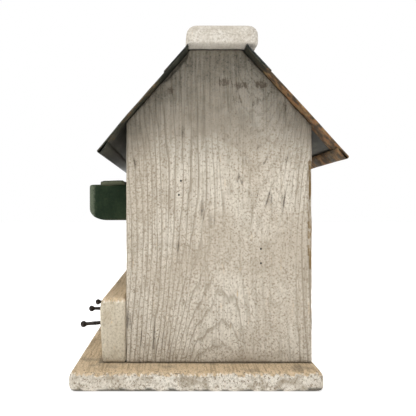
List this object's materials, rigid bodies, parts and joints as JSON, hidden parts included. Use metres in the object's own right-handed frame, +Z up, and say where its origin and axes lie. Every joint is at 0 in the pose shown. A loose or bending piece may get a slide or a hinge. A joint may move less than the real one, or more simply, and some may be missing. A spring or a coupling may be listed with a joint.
{
  "type": "birdhouse",
  "caption": "Rustic free-standing wooden birdhouse with a tin gable roof, ridge cap, iron perch pegs, window box and rear clean-out door.",
  "frame": {"origin": "centre of the base board's underside", "axes": "+Z up, -Y out of the front with the entries, +X along the ridge towards the right gable"},
  "size_m": [0.381, 0.2769, 0.3489],
  "materials": {
    "distressed_white": "matt",
    "rusty_tin": "matt",
    "black_iron": "matt",
    "green_paint": "satin",
    "mossy_wood": "matt",
    "bare_wood": "matt",
    "worn_wood": "satin",
    "old_brass": "satin",
    "dull_steel": "satin"
  },
  "bodies": {
    "house": {"base_board": "distressed_white", "base_screws": "dull_steel", "cap_nails": "dull_steel", "door_stops": "bare_wood", "front_roof_sheet": "rusty_tin", "front_wall": "distressed_white", "gable_brads": "dull_steel", "left_divider": "bare_wood", "left_gable": "distressed_white", "left_perch_peg": "black_iron", "lower_hinge_pin": "old_brass", "lower_hinge_wall_leaf": "old_brass", "lower_hinge_wall_screws": "dull_steel", "middle_perch_peg": "black_iron", "perch_rail": "distressed_white", "rail_nails": "dull_steel", "rear_roof_sheet": "rusty_tin", "rear_wall": "distressed_white", "ridge_board": "bare_wood", "ridge_cap": "distressed_white", "ridge_flashing": "rusty_tin", "right_divider": "bare_wood", "right_gable": "distressed_white", "right_perch_peg": "black_iron", "roof_nails": "dull_steel", "turn_button_screw": "dull_steel", "upper_hinge_pin": "old_brass", "upper_hinge_wall_leaf": "old_brass", "upper_hinge_wall_screws": "dull_steel", "wall_nails": "dull_steel", "window_box": "green_paint", "window_box_liner": "mossy_wood", "window_box_screws": "dull_steel"},
    "door": {"cleanout_door": "distressed_white", "door_knob": "worn_wood", "door_knob_screw": "dull_steel", "lower_hinge_door_leaf": "old_brass", "lower_hinge_door_screws": "dull_steel", "upper_hinge_door_leaf": "old_brass", "upper_hinge_door_screws": "dull_steel"},
    "button": {"turn_button": "worn_wood"}
  },
  "joints": [
    {"name": "door_swing", "type": "hinge", "parent": "house", "child": "door", "pos_m": [-0.10725, 0.1182, 0.099], "axis": [0, 0, 1], "range_deg": [0, 110]},
    {"name": "button_turn", "type": "hinge", "parent": "house", "child": "button", "pos_m": [0.117, 0.1178, 0.099], "axis": [0, 1, 0], "range_deg": [0, 90]}
  ]
}
